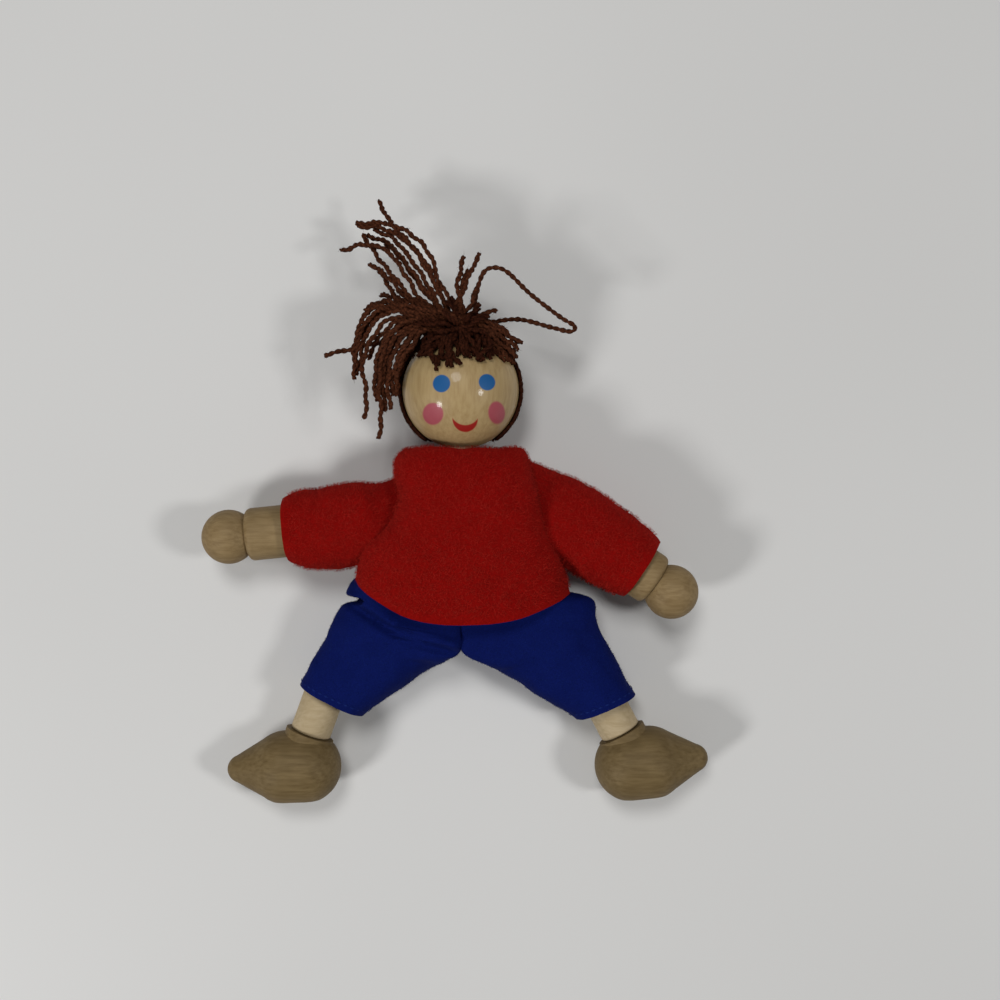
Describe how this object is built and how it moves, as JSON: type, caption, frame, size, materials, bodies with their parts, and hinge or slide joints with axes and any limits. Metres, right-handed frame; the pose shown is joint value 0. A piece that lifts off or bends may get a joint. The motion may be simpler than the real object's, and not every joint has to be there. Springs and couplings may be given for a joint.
{
  "type": "bendable miniature doll",
  "caption": "Small wooden bead doll on soft wire, with a ball head, yarn hair, felt sweater, cotton trousers and teardrop feet, bent by hand at shoulders, elbows, hips and knees",
  "frame": {"origin": "middle of the box, on the table under the doll's back", "axes": "+Z out of the belly, +Y towards the head, +X towards the doll's left hand; the doll lies on its back"},
  "size_m": [0.0965, 0.1148, 0.023],
  "materials": {
    "head_wood": "gloss varnish",
    "bead_wood": "plain sanded",
    "peg_wood": "plain sanded",
    "wire": "satin",
    "felt": "fuzzy felt",
    "cotton": "plain weave",
    "yarn": "twisted yarn"
  },
  "bodies": {
    "torso": {"torso_block": "peg_wood", "neck_dowel": "peg_wood", "arm_wire": "wire", "right_leg_wire": "wire", "left_leg_wire": "wire", "sweater_body": "felt", "trouser_seat": "cotton"},
    "head": {"head_ball": "head_wood", "hair_back": "yarn", "hair_fringe": "yarn", "hair_tuft": "yarn", "hair_upright": "yarn", "hair_side": "yarn", "hair_right": "yarn", "hair_loop": "yarn", "hair_stray": "yarn"},
    "right_shoulder": {"right_shoulder_bend": "wire"},
    "right_upper_arm": {"right_upper_arm_wire": "wire", "right_upper_arm_bead": "bead_wood", "right_sleeve": "felt"},
    "right_forearm": {"right_forearm_wire": "wire", "right_forearm_bead": "bead_wood", "right_hand": "bead_wood", "right_sleeve_cuff": "felt"},
    "right_hip": {"right_hip_bend": "wire"},
    "right_thigh": {"right_thigh_wire": "wire", "right_thigh_bead": "bead_wood", "right_trouser_leg": "cotton"},
    "right_shin": {"right_shin_wire": "wire", "right_ankle_peg": "peg_wood", "right_trouser_cuff": "cotton"},
    "right_foot": {"right_foot": "bead_wood"},
    "left_shoulder": {"left_shoulder_bend": "wire"},
    "left_upper_arm": {"left_upper_arm_wire": "wire", "left_upper_arm_bead": "bead_wood", "left_sleeve": "felt"},
    "left_forearm": {"left_forearm_wire": "wire", "left_forearm_bead": "bead_wood", "left_hand": "bead_wood", "left_sleeve_cuff": "felt"},
    "left_hip": {"left_hip_bend": "wire"},
    "left_thigh": {"left_thigh_wire": "wire", "left_thigh_bead": "bead_wood", "left_trouser_leg": "cotton"},
    "left_shin": {"left_shin_wire": "wire", "left_ankle_peg": "peg_wood", "left_trouser_cuff": "cotton"},
    "left_foot": {"left_foot": "bead_wood"}
  },
  "joints": [
    {"name": "head_turn", "type": "hinge", "parent": "torso", "child": "head", "pos_m": [0.00051, 0.02083, 0.0114], "axis": [0, 1, 0], "range_deg": [-60, 60]},
    {"name": "right_arm_raise", "type": "hinge", "parent": "torso", "child": "right_shoulder", "pos_m": [-0.01229, 0.00063, 0.01], "axis": [0, 0, -1], "range_deg": [-10, 45]},
    {"name": "right_arm_forward", "type": "hinge", "parent": "right_shoulder", "child": "right_upper_arm", "pos_m": [-0.01229, 0.00063, 0.01], "axis": [-0.3971, 0.9178, 0], "range_deg": [0, 45]},
    {"name": "right_elbow", "type": "hinge", "parent": "right_upper_arm", "child": "right_forearm", "pos_m": [-0.02514, -0.00493, 0.01], "axis": [0, 0, 1], "range_deg": [-40, 55]},
    {"name": "right_leg_swing", "type": "hinge", "parent": "torso", "child": "right_hip", "pos_m": [-0.00699, -0.02527, 0.007], "axis": [-1, 0, 0], "range_deg": [0, 65]},
    {"name": "right_leg_spread", "type": "hinge", "parent": "right_hip", "child": "right_thigh", "pos_m": [-0.00699, -0.02527, 0.007], "axis": [0, 0, -1], "range_deg": [-60, 8]},
    {"name": "right_knee", "type": "hinge", "parent": "right_thigh", "child": "right_shin", "pos_m": [-0.0236, -0.03109, 0.007], "axis": [0, 0, 1], "range_deg": [-50, 34]},
    {"name": "right_foot_turn", "type": "hinge", "parent": "right_shin", "child": "right_foot", "pos_m": [-0.02853, -0.04462, 0.007], "axis": [0.342, 0.9397, 0], "range_deg": [0, 90]},
    {"name": "left_arm_raise", "type": "hinge", "parent": "torso", "child": "left_shoulder", "pos_m": [0.01331, 0.00063, 0.01], "axis": [0, 0, 1], "range_deg": [-10, 45]},
    {"name": "left_arm_forward", "type": "hinge", "parent": "left_shoulder", "child": "left_upper_arm", "pos_m": [0.01331, 0.00063, 0.01], "axis": [-0.5417, -0.8406, 0], "range_deg": [0, 45]},
    {"name": "left_elbow", "type": "hinge", "parent": "left_upper_arm", "child": "left_forearm", "pos_m": [0.02508, -0.00695, 0.01], "axis": [0, 0, -1], "range_deg": [-55, 35]},
    {"name": "left_leg_swing", "type": "hinge", "parent": "torso", "child": "left_hip", "pos_m": [0.00801, -0.02527, 0.007], "axis": [-1, 0, 0], "range_deg": [0, 65]},
    {"name": "left_leg_spread", "type": "hinge", "parent": "left_hip", "child": "left_thigh", "pos_m": [0.00801, -0.02527, 0.007], "axis": [0, 0, 1], "range_deg": [-60, 8]},
    {"name": "left_knee", "type": "hinge", "parent": "left_thigh", "child": "left_shin", "pos_m": [0.02439, -0.03172, 0.007], "axis": [0, 0, -1], "range_deg": [-40, 44]},
    {"name": "left_foot_turn", "type": "hinge", "parent": "left_shin", "child": "left_foot", "pos_m": [0.03115, -0.04443, 0.007], "axis": [0.4695, -0.8829, 0], "range_deg": [0, 90]}
  ]
}
